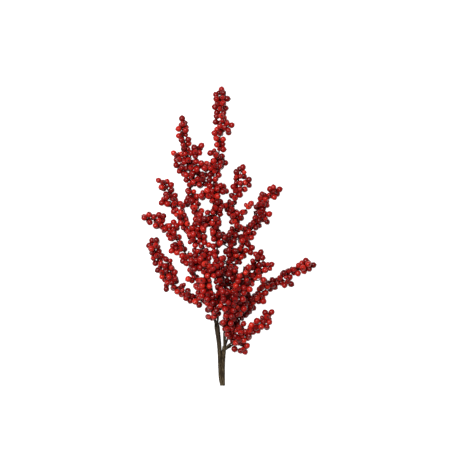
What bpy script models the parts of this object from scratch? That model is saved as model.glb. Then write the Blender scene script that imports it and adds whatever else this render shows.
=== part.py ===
# A cut sprig of rose hips, laid on its side: a woody stem of two grown-together stalks,
# and fruiting sprays whose thin twigs are set all round with small round red hips.
# Lengths are in millimetres until the mesh is made. X runs across the sprig, Y from the cut
# foot of the stem to the tips, and Z up from the surface that the sprig lies on.

import math
import random

import bmesh
import bpy
from mathutils import Vector

MM = 0.001
DOWN = Vector((0, 0, -1))

# The middle of the whole sprig's box, measured from the cut foot of the stem.
SPRIG_MIDDLE = Vector((10.9, 248.1, 0.0))

CLEARANCE = 0.35  # kept between the pieces of two nodes
PATH_STEP = 3.0  # between two points of a twig's middle line
PATH_END = 0.5  # the least between the end of a part of a path and the next point
FORK_STEP = 0.3  # between two places where a fork is tried
RING_STEP = 18.6  # between two rings of a twig's corners
STALK_RING_STEP = 14.0
STALK_SIDES = 8
STALK_RADIUS = 4.4  # where a stalk is thickest
BARE_SIDES = 4
TWIG_SIDES = 3
TWIG_TWIST = math.radians(25)  # from one ring to the next
UPRIGHT = 0.99  # the rise of a direction that has no level side of its own

BARE_RADIUS = 1.7  # at a shoot's fork
SHOOT_RADIUS = 1.5  # at a shoot's tip
SIDE_TWIG_RADIUS = 1.4

HIP_RADIUS = 5.1
HIP_SPREAD = 0.35  # how far a full hip's radius goes from the mean
SMALL_HIP_RADIUS = 4.0
SMALL_HIP_SHARE = 0.1
HIPS_PER_STRETCH = 3  # from one ring of a twig to the next
HIP_SLIP = 0.16  # of a stretch, how far a hip may stand from its even place
HIP_SUNK = 0.75  # how deep the point of a hip's root goes into its twig's side
TIP_SUNK = 2.6  # how deep a twig's tip goes into its last hip
ROOT_LENGTH = 0.4  # of the point under a seated hip
OUTER_ROOT_LENGTH = 3.4  # of the point under a hip that stands off
OUTER_HIP_SHARE = 0.2
HIP_APART = 1.13  # of two radii, the least between the middles of two hips
LOWEST_HIP = 0.5  # between the surface and a hip that doesn't rest on it
GAP_EDGE = 0.7  # of its radius, how far a hip's middle keeps from the edge of an open spot

# A hip has four corners round its lower half, four between them round its upper half, and a
# corner at each end. CORNER makes its volume that of the ball.
CORNER = 1.2
CORNER_LATITUDE = math.radians(27)
HIP_CORNERS = 4

# A hip that the sprig rests on is pressed flat at its end.
FLAT_REACH = 0.93  # of its radius, from its middle to the flat
FLAT_LATITUDE = math.radians(62)

BARK_COLOUR = (0.085, 0.062, 0.042)
BARK_ROUGHNESS = 0.75
HIP_COLOUR = (0.225, 0.008, 0.007)
HIP_ROUGHNESS = 0.32
SHARP_ANGLE = math.radians(60)  # between two faces, from where their edge isn't smooth

# The two stalks, as points of their middle line with the radius there.
LEFT_STALK = [
    (-1.8, 0, 2.2, 2.4),
    (-3.8, 14, 3.6, 2.8),
    (-4.5, 36, 7.5, 3.0),
    (-4.8, 56, 13.0, 3.6),
    (-5.8, 72, 18.5, 3.7),
    (-7.7, 88, 23.0, 4.1),
    (-9.2, 100, 25.8, 4.4),
    (-10.2, 109, 28.0, 3.0),
]
RIGHT_STALK = [
    (1.9, 0, 2.2, 2.4),
    (1.2, 14, 3.6, 2.9),
    (1.2, 36, 7.5, 3.1),
    (2.0, 56, 13.0, 3.6),
    (3.4, 66, 16.5, 3.2),
]

# Each shoot: the length of its bare foot, which is part of the stem, its middle line from
# its fork to its tip, and its side twigs. A shoot with a bare foot of 0 forks from another.
SHOOTS = {
    "spray_leader": (
        24,
        [(-9, 98, 26), (-7, 120, 40), (-5, 145, 49), (-5, 170, 53), (-8, 202, 55), (-9, 236, 54),
         (-12, 272, 52), (-8, 296, 50), (-14, 326, 47), (-13, 357, 44), (-6, 384, 42),
         (-4, 412, 39), (-1, 434, 36), (-5, 456, 33), (-4, 470, 30), (-2, 487, 28)],
        [[(-5, 462, 32), (0, 471, 35), (3, 479, 36)],
         [(-4, 471, 30), (-9, 479, 29)],
         [(-3, 413, 39), (4, 424, 42), (12, 429, 44)],
         [(-8, 378, 43), (-13, 387, 46)],
         [(-13, 361, 44), (-4, 370, 38), (2, 370, 34)],
         [(-13, 350, 45), (-20, 359, 41), (-24, 365, 39)],
         [(-14, 322, 47), (-4, 326, 42), (3, 324, 38)],
         [(-9, 298, 50), (-20, 310, 55), (-30, 318, 56)],
         [(-11, 280, 51), (-24, 284, 58), (-34, 278, 62)],
         [(-12, 260, 52), (-21, 267, 56), (-28, 267, 58)],
         [(-9, 238, 54), (-1, 247, 50), (5, 252, 48)]],
    ),
    "spray_tall_left": (
        44,
        [(-11, 103, 27), (-14, 130, 37), (-17, 160, 42), (-23, 192, 42), (-27, 219, 40),
         (-34, 241, 37), (-38, 268, 36), (-43, 298, 37), (-52, 326, 40), (-54, 356, 43),
         (-57, 386, 46), (-65, 416, 48), (-66, 437, 49)],
        [[(-54, 351, 42), (-65, 357, 38), (-73, 363, 36)],
         [(-55, 366, 44), (-66, 375, 40), (-77, 383, 38)],
         [(-56, 376, 45), (-45, 386, 52), (-37, 394, 55)],
         [(-54, 356, 44), (-42, 365, 49), (-33, 362, 52)],
         [(-53, 340, 41), (-40, 347, 36), (-31, 349, 33)],
         [(-52, 331, 40), (-41, 336, 46), (-31, 338, 49)],
         [(-34, 241, 37), (-46, 241, 42), (-57, 245, 45)],
         [(-26, 212, 40), (-35, 217, 34), (-43, 223, 31)]],
    ),
    "spray_upper_right": (
        26,
        [(3, 63, 18), (3, 92, 24), (8, 120, 27), (12, 150, 28), (14, 178, 29), (16, 208, 30),
         (15, 240, 31), (22, 268, 32), (17, 294, 34), (23, 320, 36), (27, 343, 38), (32, 358, 39)],
        [[(24, 324, 36), (33, 332, 33), (40, 338, 31)],
         [(27, 341, 38), (24, 350, 42)],
         [(18, 292, 34), (10, 301, 29), (3, 303, 26)],
         [(20, 264, 32), (31, 280, 36), (39, 293, 38), (44, 299, 39)],
         [(16, 236, 31), (24, 243, 27), (31, 249, 25)],
         [(14, 182, 29), (5, 188, 25)],
         [(15, 200, 30), (6, 207, 26), (0, 208, 24)],
         [(14, 178, 29), (25, 184, 22), (33, 183, 18)],
         [(15, 226, 31), (4, 234, 25), (-4, 236, 22)],
         [(13, 160, 28), (1, 168, 22), (-6, 175, 19)]],
    ),
    "spray_left": (
        40,
        [(-11, 102, 26), (-18, 130, 25), (-28, 158, 28), (-43, 182, 29), (-53, 208, 28),
         (-68, 230, 26), (-81, 250, 23), (-97, 266, 21), (-112, 275, 21), (-126, 280, 22)],
        [[(-45, 184, 29), (-53, 180, 33)],
         [(-56, 212, 28), (-62, 211, 22)],
         [(-59, 217, 27), (-55, 224, 22)],
         [(-70, 234, 25), (-77, 230, 29), (-81, 227, 31)],
         [(-84, 254, 23), (-88, 248, 17)],
         [(-115, 277, 21), (-121, 278, 26), (-126, 275, 27)],
         [(-100, 268, 21), (-106, 269, 17), (-111, 267, 14)],
         [(-100, 268, 22), (-102, 279, 26)]],
    ),
    "spray_upper_left": (
        0,
        [(-38, 246, 37), (-45, 254, 30), (-58, 268, 22), (-70, 284, 15), (-79, 301, 10.5),
         (-88, 319, 9.4), (-94, 332, 10.5), (-103, 339, 12)],
        [[(-56, 268, 22), (-66, 265, 26), (-77, 270, 28)],
         [(-73, 290, 13), (-65, 297, 18), (-61, 303, 20)],
         [(-80, 304, 10), (-88, 310, 15), (-97, 306, 17)],
         [(-95, 335, 11), (-102, 331, 15)]],
    ),
    "spray_lower_left": (
        38,
        [(-11, 104, 25), (-21, 128, 17), (-36, 142, 14), (-54, 149, 13), (-73, 162, 12),
         (-90, 177, 11), (-102, 195, 11), (-110, 217, 11.5), (-116, 238, 12)],
        [[(-80, 168, 12), (-84, 182, 18), (-88, 196, 22), (-92, 207, 23)],
         [(-66, 156, 12.5), (-69, 165, 18)],
         [(-30, 136, 15), (-36, 149, 18), (-42, 157, 19)],
         [(-112, 224, 12), (-111, 232, 17), (-110, 238, 20)],
         [(-108, 211, 11.5), (-115, 214, 15)],
         [(-85, 171, 12), (-92, 168, 15)]],
    ),
    "spray_right": (
        0,
        [(15, 196, 30), (24, 206, 25), (32, 226, 18), (40, 245, 13), (50, 262, 10),
         (61, 279, 9.4), (61, 298, 9.4), (68, 312, 9.8), (78, 320, 11), (91, 325, 14)],
        [[(57, 272, 10), (66, 278, 15), (74, 283, 18)],
         [(36, 235, 16), (42, 231, 20), (45, 225, 23)],
         [(44, 250, 13), (39, 259, 18), (40, 268, 21)],
         [(58, 274, 10), (53, 283, 15), (52, 291, 17)],
         [(62, 302, 9.4), (68, 302, 14), (73, 305, 16)]],
    ),
    "spray_mid_right": (
        0,
        [(11, 143, 28), (22, 157, 36), (38, 173, 43), (55, 188, 48), (54, 203, 52), (61, 219, 55)],
        [[(50, 184, 46), (43, 194, 52), (42, 205, 56)],
         [(55, 188, 48), (66, 196, 48), (77, 201, 48)],
         [(46, 180, 45), (57, 176, 40), (66, 180, 37)]],
    ),
    "spray_far_right": (
        16,
        [(4, 65, 17), (13, 92, 20), (29, 117, 19), (50, 138, 17), (70, 159, 15), (91, 175, 13),
         (112, 188, 12), (133, 197, 12), (147, 200, 13)],
        [[(10, 86, 19), (14, 94, 29), (12, 101, 35)],
         [(36, 125, 18), (40, 121, 22)],
         [(42, 131, 18), (40, 142, 24), (41, 149, 27)],
         [(52, 140, 17), (60, 143, 20), (64, 146, 22)],
         [(66, 155, 16), (65, 166, 21), (64, 174, 24)],
         [(98, 179, 13), (104, 174, 17), (110, 171, 19)],
         [(130, 193, 12), (135, 200, 16), (141, 203, 18)]],
    ),
    "spray_lower_right": (
        14,
        [(5, 63, 17), (12, 70, 20), (25, 79, 25), (39, 86, 29), (53, 97, 32), (65, 107, 34),
         (72, 115, 35), (78, 121, 35)],
        [[(54, 98, 32), (63, 100, 36), (71, 105, 38)],
         [(34, 84, 28), (41, 84, 25)],
         [(29, 81, 27), (28, 92, 33), (33, 102, 37)]],
    ),
    "spray_foot_right": (
        9,
        [(5, 61, 15), (13, 66, 12), (23, 71, 10.6), (32, 68, 10.5), (36, 60, 10.6)],
        [],
    ),
    "spray_front_centre": (
        22,
        [(3, 65, 19), (5, 88, 32), (9, 110, 46), (17, 132, 58), (26, 155, 65), (32, 178, 68),
         (35, 200, 68)],
        [[(20, 140, 61), (10, 148, 68), (3, 156, 71)],
         [(13, 122, 53), (24, 127, 48), (33, 134, 45)],
         [(28, 162, 66), (40, 166, 68), (46, 172, 69)],
         [(31, 174, 68), (21, 184, 70), (16, 192, 70)]],
    ),
    "spray_front_left": (
        20,
        [(-10, 98, 27), (-14, 118, 42), (-19, 142, 54), (-26, 166, 60), (-30, 188, 62),
         (-30, 208, 61)],
        [[(-15, 126, 46), (-4, 130, 57), (2, 134, 62)],
         [(-13, 120, 43), (-18, 119, 40), (-19, 113, 37)],
         [(-22, 152, 57), (-33, 156, 52), (-40, 163, 48)],
         [(-28, 178, 61), (-17, 188, 68), (-10, 194, 70)],
         [(-29, 192, 62), (-42, 198, 56), (-49, 206, 52)]],
    ),
}

# Open spots between the shoots, seen from above, where no hip grows: from one point to
# another, and how far to each side.
GAPS = [
    ((-39, 321), (-46, 328), 2),
    ((7, 310), (2, 306), 2),
    ((-24, 297), (-30, 302), 6),
    ((-51, 271), (-56, 294), 3),
    ((37, 271), (48, 290), 5),
    ((4, 263), (5, 275), 6),
    ((-21, 241), (-24, 261), 3),
    ((-54, 225), (-69, 257), 3),
    ((22, 231), (26, 236), 2),
    ((-93, 275), (-86, 271), 2),
    ((27, 302), (33, 298), 3),
    ((-4, 219), (1, 232), 2),
    ((30, 193), (37, 207), 4),
    ((67, 184), (97, 194), 3),
    ((-37, 184), (-38, 189), 3),
    ((-13, 159), (-17, 180), 2),
    ((50, 158), (58, 176), 3),
    ((-47, 156), (-52, 166), 3),
    ((-3, 112), (1, 124), 2),
    ((-2, 73), (-1, 99), 1),
]

# A shoot and the other shoot that it forks from.
FORKS_FROM = {
    "spray_upper_left": "spray_tall_left",
    "spray_right": "spray_upper_right",
    "spray_mid_right": "spray_upper_right",
}

# The hips that the sprays rest on: the shoot, and how far along it the hip hangs straight down.
RESTING_HIPS = {
    "spray_upper_left": 92.0,
    "spray_right": 118.0,
}

SEED = 7


def curve_through(points):
    """A smooth curve through the points, as closely spaced points."""
    points = [Vector(point) for point in points]
    ends = [2 * points[0] - points[1]] + points + [2 * points[-1] - points[-2]]
    curve = [points[0]]
    for before, start, end, after in zip(ends, ends[1:], ends[2:], ends[3:]):
        count = max(1, round((end - start).length / PATH_STEP))
        for i in range(1, count + 1):
            t = i / count
            bend = (2 * before - 5 * start + 4 * end - after) * t * t
            twist = (3 * start - before - 3 * end + after) * t * t * t
            curve.append((2 * start + (end - before) * t + bend + twist) / 2)
    return curve


def length_of(path):
    return sum((b - a).length for a, b in zip(path, path[1:]))


def place_on(path, distance):
    """The point of a path at a distance from its start, and the direction there."""
    for a, b in zip(path, path[1:]):
        step = b - a
        if distance <= step.length or b is path[-1]:
            return a + step * (distance / step.length), step.normalized()
        distance -= step.length


def stretch_of(path, start, end):
    """The part of a path between two distances from its start."""
    inner = []
    distance = 0.0
    for a, b in zip(path, path[1:]):
        distance += (b - a).length
        if start + PATH_END < distance < end - PATH_END:
            inner.append(b)
    return [place_on(path, start)[0]] + inner + [place_on(path, end)[0]]


def across(direction):
    """Two directions square to another: one level, one as near upright as it goes."""
    if abs(direction.z) > UPRIGHT:
        return Vector((1, 0, 0)), Vector((0, 1, 0))
    level = direction.cross(Vector((0, 0, 1))).normalized()
    return level, level.cross(direction).normalized()


def nearest_between(start, end, point):
    """The point of a straight stretch that is nearest to another point."""
    step = end - start
    part = min(1.0, max(0.0, (point - start).dot(step) / step.length_squared))
    return start + step * part


def gap_between(start, end, point):
    return (nearest_between(start, end, point) - point).length


class Twig:
    """A tapered twig of a few sides: rings of corners along a path."""

    def __init__(self, path, radii, sides, turn=0.0, ring_step=RING_STEP):
        self.path = path
        self.radii = radii
        self.sides = sides
        self.length = length_of(path)
        self.stretches = max(1, round(self.length / ring_step))
        self.middles = []
        self.rings = []
        for number in range(self.stretches + 1):
            distance = self.length * number / self.stretches
            middle, direction = place_on(path, distance)
            level, upright = across(direction)
            radius = self.radius(distance)
            ring = []
            for side in range(sides):
                angle = turn + TWIG_TWIST * number + 2 * math.pi * side / sides
                out = level * math.cos(angle) + upright * math.sin(angle)
                ring.append(middle + out * radius)
            self.middles.append(middle)
            self.rings.append(ring)

    def radius(self, distance):
        return self.radii[0] + (self.radii[1] - self.radii[0]) * distance / self.length

    def side_place(self, distance, side):
        """The middle of a side at a distance from the root, and the way that it faces."""
        along = distance / self.length * self.stretches
        number = min(self.stretches - 1, int(along))
        along -= number
        corners = []
        for ring in self.rings[number : number + 2]:
            corners.append((ring[side] + ring[(side + 1) % self.sides]) / 2)
        place = corners[0].lerp(corners[1], along)
        middle = self.middles[number].lerp(self.middles[number + 1], along)
        return place, (place - middle).normalized()

    def nearest(self, point):
        """The point of the twig's line that is nearest to another point."""
        pairs = zip(self.middles, self.middles[1:])
        found = [nearest_between(a, b, point) for a, b in pairs]
        return min(found, key=lambda place: (place - point).length)

    def gap_to(self, point):
        """The clear space between the twig and a point."""
        pairs = zip(self.middles, self.middles[1:])
        return min(gap_between(a, b, point) for a, b in pairs) - self.radii[0]


class Hip:
    """A hip: its middle, its radius, the way it points, and the point of its root."""

    def __init__(self, middle, radius, out, root, flat=False):
        self.middle = middle
        self.radius = radius
        self.out = out
        self.root = root
        self.flat = flat


def new_object(name, bm, slot, materials):
    for face in bm.faces:
        face.material_index = slot
    bmesh.ops.recalc_face_normals(bm, faces=bm.faces)
    bmesh.ops.triangulate(bm, faces=bm.faces)
    for vert in bm.verts:
        vert.co = (vert.co - SPRIG_MIDDLE) * MM
    mesh = bpy.data.meshes.new(name)
    bm.to_mesh(mesh)
    bm.free()
    for material in materials:
        mesh.materials.append(material)
    obj = bpy.data.objects.new(name, mesh)
    bpy.context.scene.collection.objects.link(obj)
    return obj


def add_rings(bm, rings):
    """Rings of corners, joined one to the next by a band of faces."""
    made = [[bm.verts.new(corner) for corner in ring] for ring in rings]
    for ring, following in zip(made, made[1:]):
        for side in range(len(ring)):
            around = (side + 1) % len(ring)
            bm.faces.new((ring[side], ring[around], following[around], following[side]))
    return made


def add_twig(twig, name, materials):
    bm = bmesh.new()
    rings = add_rings(bm, twig.rings)
    bm.faces.new(rings[0])
    bm.faces.new(rings[-1])
    return new_object(name, bm, 0, materials)


def add_hip(hip, name, materials):
    """A faceted ball whose lower corner is drawn out to the point of its root."""
    bm = bmesh.new()
    level, upright = across(hip.out)
    size = hip.radius * CORNER

    def ring_at(latitude, turn, reach):
        centre = hip.middle + hip.out * reach
        corners = []
        for corner in range(HIP_CORNERS):
            angle = 2 * math.pi * (corner + turn) / HIP_CORNERS
            side = level * math.cos(angle) + upright * math.sin(angle)
            corners.append(bm.verts.new(centre + side * size * math.cos(latitude)))
        return corners

    low = ring_at(CORNER_LATITUDE, 0.0, -size * math.sin(CORNER_LATITUDE))
    high = ring_at(CORNER_LATITUDE, 0.5, size * math.sin(CORNER_LATITUDE))
    root = bm.verts.new(hip.root)
    for corner in range(HIP_CORNERS):
        around = (corner + 1) % HIP_CORNERS
        bm.faces.new((root, low[corner], low[around]))
        bm.faces.new((low[corner], low[around], high[corner]))
        bm.faces.new((low[around], high[around], high[corner]))
    if hip.flat:
        last = ring_at(FLAT_LATITUDE, 0.5, hip.radius * FLAT_REACH)
        for corner in range(HIP_CORNERS):
            around = (corner + 1) % HIP_CORNERS
            bm.faces.new((high[corner], high[around], last[around], last[corner]))
        bm.faces.new(last)
    else:
        end = bm.verts.new(hip.middle + hip.out * size)
        for corner in range(HIP_CORNERS):
            bm.faces.new((end, high[corner], high[(corner + 1) % HIP_CORNERS]))
    return new_object(name, bm, 1, materials)


def fuse(body, pieces):
    """Joins the pieces to the body by one union, and leaves one closed body."""
    group = bpy.data.collections.new(body.name + "_pieces")
    for piece in pieces:
        group.objects.link(piece)
    union = body.modifiers.new("fuse", "BOOLEAN")
    union.operation = "UNION"
    union.operand_type = "COLLECTION"
    union.collection = group
    union.solver = "EXACT"
    bpy.context.view_layer.objects.active = body
    bpy.ops.object.modifier_apply(modifier=union.name)
    for piece in pieces:
        bpy.data.objects.remove(piece)
    bpy.data.collections.remove(group)
    keep_largest_shell(body)


def keep_largest_shell(body):
    """Drops loose scraps and slivers, and fills a hollow by dropping its inner skin."""
    bm = bmesh.new()
    bm.from_mesh(body.data)
    bmesh.ops.triangulate(bm, faces=bm.faces)
    left = set(bm.faces)
    largest = set()
    while left:
        waiting = [left.pop()]
        shell = set(waiting)
        while waiting:
            for edge in waiting.pop().edges:
                if len(edge.link_faces) != 2:
                    continue
                for face in left.intersection(edge.link_faces):
                    left.remove(face)
                    shell.add(face)
                    waiting.append(face)
        if len(shell) > len(largest):
            largest = shell
    extra = [face for face in bm.faces if face not in largest]
    bmesh.ops.delete(bm, geom=extra, context="FACES")
    bm.to_mesh(body.data)
    bm.free()


def material(name, colour, roughness):
    made = bpy.data.materials.new(name)
    made.use_nodes = True
    shader = made.node_tree.nodes["Principled BSDF"]
    shader.inputs["Base Color"].default_value = (*colour, 1.0)
    shader.inputs["Roughness"].default_value = roughness
    shader.inputs["Metallic"].default_value = 0.0
    return made


def lay_stalks():
    stalks = []
    for points in (LEFT_STALK, RIGHT_STALK):
        path = curve_through([point[:3] for point in points])
        radii = (STALK_RADIUS, STALK_RADIUS)
        stalks.append(Twig(path, radii, STALK_SIDES, ring_step=STALK_RING_STEP))
    return stalks


def lay_twigs():
    """The bare feet of the shoots, which belong to the stem, and the twigs of each spray."""
    rng = random.Random(SEED)
    paths = {name: curve_through(shoot[1]) for name, shoot in SHOOTS.items()}
    radii = (BARE_RADIUS, SHOOT_RADIUS)
    whole = {name: Twig(path, radii, TWIG_SIDES) for name, path in paths.items()}
    feet = []
    sprays = {}
    for name, path in paths.items():
        bare, sides = SHOOTS[name][0], SHOOTS[name][2]
        start = bare + CLEARANCE
        if bare:
            foot = stretch_of(path, 0.0, bare)
            feet.append(Twig(foot, (BARE_RADIUS, BARE_RADIUS), BARE_SIDES))
        else:
            parent = whole[FORKS_FROM[name]]
            while parent.gap_to(place_on(path, start)[0]) < BARE_RADIUS + CLEARANCE:
                start += FORK_STEP
        shoot = stretch_of(path, start, length_of(path))
        twigs = [Twig(shoot, radii, TWIG_SIDES, rng.uniform(0, math.pi))]
        for side in sides:
            thin = (SIDE_TWIG_RADIUS, SIDE_TWIG_RADIUS)
            root = twigs[0].nearest(Vector(side[0]))
            line = curve_through([root] + side[1:])
            twigs.append(Twig(line, thin, TWIG_SIDES, rng.uniform(0, math.pi)))
        sprays[name] = twigs
    return feet, sprays


def is_clear(hip, name, hips, sprays, wood):
    """Whether a hip keeps off the surface, its neighbours and the wood of other nodes."""
    corner = hip.radius * CORNER
    if hip.middle.z - corner < LOWEST_HIP:
        return False
    seen = Vector((hip.middle.x, hip.middle.y, 0))
    for start, end, half_width in GAPS:
        start, end = Vector((*start, 0)), Vector((*end, 0))
        if gap_between(start, end, seen) < half_width + hip.radius * GAP_EDGE:
            return False
    for other, placed in hips.items():
        for old in placed:
            apart = (hip.middle - old.middle).length
            if other == name:
                if apart < HIP_APART * (hip.radius + old.radius):
                    return False
            elif apart < corner + old.radius * CORNER + CLEARANCE:
                return False
    for other, twigs in sprays.items():
        if other != name and any(t.gap_to(hip.middle) < corner + CLEARANCE for t in twigs):
            return False
    return all(piece.gap_to(hip.middle) >= corner + CLEARANCE for piece in wood)


def hip_on(place, out, radius, root_length, sunk=HIP_SUNK):
    """A hip that stands on a place of its twig."""
    reach = radius * CORNER + root_length - sunk
    return Hip(place + out * reach, radius, out, place - out * sunk)


def resting_hip(twig, distance):
    """A hip that hangs straight down from its twig to the surface."""
    place = place_on(twig.path, distance)[0]
    middle = Vector((place.x, place.y, HIP_RADIUS * FLAT_REACH))
    return Hip(middle, HIP_RADIUS, DOWN, place, flat=True)


def grow_hips(sprays, wood):
    """Hips on each twig, one side after another, and one at each tip, clear of the stem's wood."""
    rng = random.Random(SEED)
    hips = {name: [] for name in sprays}
    for name, distance in RESTING_HIPS.items():
        hips[name].append(resting_hip(sprays[name][0], distance))
    for name, twigs in sprays.items():
        for twig in twigs:
            radius = HIP_RADIUS + HIP_SPREAD * rng.uniform(-1, 1)
            tip, direction = place_on(twig.path, twig.length)
            last = hip_on(tip, direction, radius, ROOT_LENGTH, TIP_SUNK)
            if is_clear(last, name, hips, sprays, wood):
                hips[name].append(last)
            first_side = rng.randrange(TWIG_SIDES)
            for number in range(twig.stretches * HIPS_PER_STRETCH):
                slip = rng.uniform(-HIP_SLIP, HIP_SLIP)
                along = ((number + 0.5) / HIPS_PER_STRETCH + slip) / twig.stretches
                radius = HIP_RADIUS + HIP_SPREAD * rng.uniform(-1, 1)
                if rng.random() < SMALL_HIP_SHARE:
                    radius = SMALL_HIP_RADIUS
                root_length = ROOT_LENGTH
                if rng.random() < OUTER_HIP_SHARE:
                    root_length = OUTER_ROOT_LENGTH
                for turn in range(TWIG_SIDES):
                    side = (first_side + number + turn) % TWIG_SIDES
                    place, out = twig.side_place(along * twig.length, side)
                    hip = hip_on(place, out, radius, root_length)
                    if is_clear(hip, name, hips, sprays, wood):
                        hips[name].append(hip)
                        break
    return hips


def add_stalk(points, twig, name, materials):
    """One of the two stalks, with the radius that each of its points gives."""
    bm = bmesh.new()
    rings = []
    for middle, ring in zip(twig.middles, twig.rings):
        after = next((i for i, p in enumerate(points) if p[1] > middle.y), len(points) - 1)
        low, high = points[max(0, after - 1)], points[after]
        part = min(1.0, max(0.0, (middle.y - low[1]) / (high[1] - low[1])))
        radius = low[3] + (high[3] - low[3]) * part
        rings.append([middle + (corner - middle) * radius / STALK_RADIUS for corner in ring])
    made = add_rings(bm, rings)
    bm.faces.new(made[0])
    bm.faces.new(made[-1])
    return new_object(name, bm, 0, materials)


def build_stem(stalks, feet, materials):
    stem = add_stalk(LEFT_STALK, stalks[0], "stem", materials)
    pieces = [add_stalk(RIGHT_STALK, stalks[1], "right_stalk", materials)]
    pieces += [add_twig(foot, f"foot_{n}", materials) for n, foot in enumerate(feet)]
    fuse(stem, pieces)
    for vert in stem.data.vertices:
        vert.co.z = max(vert.co.z, 0.0)
    return stem


def build_spray(name, twigs, hips, materials):
    body = add_twig(twigs[0], name, materials)
    pieces = [add_twig(twig, f"twig_{n}", materials) for n, twig in enumerate(twigs[1:])]
    pieces += [add_hip(hip, f"hip_{n}", materials) for n, hip in enumerate(hips)]
    fuse(body, pieces)
    return body


def main():
    for obj in list(bpy.data.objects):
        bpy.data.objects.remove(obj)
    bark = material("bark", BARK_COLOUR, BARK_ROUGHNESS)
    red_hip = material("red_hip", HIP_COLOUR, HIP_ROUGHNESS)
    materials = [bark, red_hip]
    stalks = lay_stalks()
    feet, sprays = lay_twigs()
    hips = grow_hips(sprays, stalks + feet)
    nodes = [build_stem(stalks, feet, materials)]
    nodes += [build_spray(name, twigs, hips[name], materials) for name, twigs in sprays.items()]
    for node in nodes:
        node.data.shade_smooth()
        node.data.set_sharp_from_angle(angle=SHARP_ANGLE)


main()
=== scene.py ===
# A cut sprig of small red rose hips that lies on its side, seen from straight above: a woody
# stem of two grown-together stalks, and sprays of thin dark red twigs, set all round with hips.
# Lengths are in millimetres until a mesh is made, counted from the cut foot of the stem:
# X across the sprig, Y from the foot to the tips, Z up from the surface that it lies on.

import math
import random

import bmesh
import bpy
from mathutils import Matrix, Vector


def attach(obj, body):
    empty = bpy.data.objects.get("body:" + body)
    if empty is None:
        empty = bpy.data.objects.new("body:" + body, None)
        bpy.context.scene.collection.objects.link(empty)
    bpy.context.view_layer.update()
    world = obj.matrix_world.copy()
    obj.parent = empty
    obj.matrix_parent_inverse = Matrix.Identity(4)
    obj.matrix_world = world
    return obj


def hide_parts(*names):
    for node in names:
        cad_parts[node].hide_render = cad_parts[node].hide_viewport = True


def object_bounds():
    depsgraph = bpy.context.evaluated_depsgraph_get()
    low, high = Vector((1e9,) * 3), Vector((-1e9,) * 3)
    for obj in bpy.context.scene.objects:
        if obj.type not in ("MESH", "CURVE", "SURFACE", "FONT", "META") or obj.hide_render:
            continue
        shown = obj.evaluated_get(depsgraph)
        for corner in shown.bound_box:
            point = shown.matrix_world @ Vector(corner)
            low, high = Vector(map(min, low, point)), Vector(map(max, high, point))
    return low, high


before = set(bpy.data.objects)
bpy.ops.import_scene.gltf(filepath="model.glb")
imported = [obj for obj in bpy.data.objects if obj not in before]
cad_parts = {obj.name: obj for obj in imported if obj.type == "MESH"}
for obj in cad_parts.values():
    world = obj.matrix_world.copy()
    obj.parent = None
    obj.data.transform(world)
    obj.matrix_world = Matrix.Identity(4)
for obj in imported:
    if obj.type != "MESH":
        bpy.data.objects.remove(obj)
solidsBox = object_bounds()
bpy.ops.object.select_all(action="DESELECT")

millimetre = 0.001
downwards = Vector((0, 0, -1))
sprigMiddle = Vector((10.9, 248.1, 0.0))

# The rule that the solids were grown by, repeated here with the same draws
growth = {
    "seed": 7,
    "clearance": 0.35,  # between the pieces of two nodes
    "pathStep": 3.0,  # between two points of a twig's middle line
    "pathEnd": 0.5,  # the least between the end of a part of a path and the next point
    "forkStep": 0.3,  # between two places where a fork is tried
    "ringStep": 18.6,  # between two rings of a solid twig's corners
    "stalkRingStep": 14.0,
    "stalkSides": 8,
    "stalkRadius": 4.4,
    "bareSides": 4,
    "twigSides": 3,
    "twigTwist": math.radians(25),  # from one ring to the next
    "upright": 0.99,  # the rise of a direction that has no level side of its own
    "bareRadius": 1.7,
    "shootRadius": 1.5,
    "sideTwigRadius": 1.4,
    "hipRadius": 5.1,
    "hipSpread": 0.35,  # how far a full hip's radius goes from the mean
    "smallHipRadius": 4.0,
    "smallHipShare": 0.1,
    "hipsPerStretch": 3,  # from one ring of a twig to the next
    "hipSlip": 0.16,  # of a stretch, how far a hip may stand from its even place
    "hipSunk": 0.75,  # how deep the point of a hip's root goes into its twig's side
    "tipSunk": 2.6,  # how deep a twig's tip goes into its last hip
    "rootLength": 0.4,  # of the point under a seated hip
    "outerRootLength": 3.4,  # of the point under a hip that stands off
    "outerHipShare": 0.2,
    "hipApart": 1.13,  # of two radii, the least between the middles of two hips
    "lowestHip": 0.5,  # between the surface and a hip that doesn't rest on it
    "gapEdge": 0.7,  # of its radius, how far a hip's middle keeps from an open spot
    "corner": 1.2,  # of the radius, how far out the solid hip's corners are
    "flatReach": 0.93,  # of the radius, from the middle of a resting hip to its flat
}

# The two stalks, as points of their middle line with the radius there.
leftStalk = [
    (-1.8, 0, 2.2, 2.4),
    (-3.8, 14, 3.6, 2.8),
    (-4.5, 36, 7.5, 3.0),
    (-4.8, 56, 13.0, 3.6),
    (-5.8, 72, 18.5, 3.7),
    (-7.7, 88, 23.0, 4.1),
    (-9.2, 100, 25.8, 4.4),
    (-10.2, 109, 28.0, 3.0),
]
rightStalk = [
    (1.9, 0, 2.2, 2.4),
    (1.2, 14, 3.6, 2.9),
    (1.2, 36, 7.5, 3.1),
    (2.0, 56, 13.0, 3.6),
    (3.4, 66, 16.5, 3.2),
]

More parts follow.
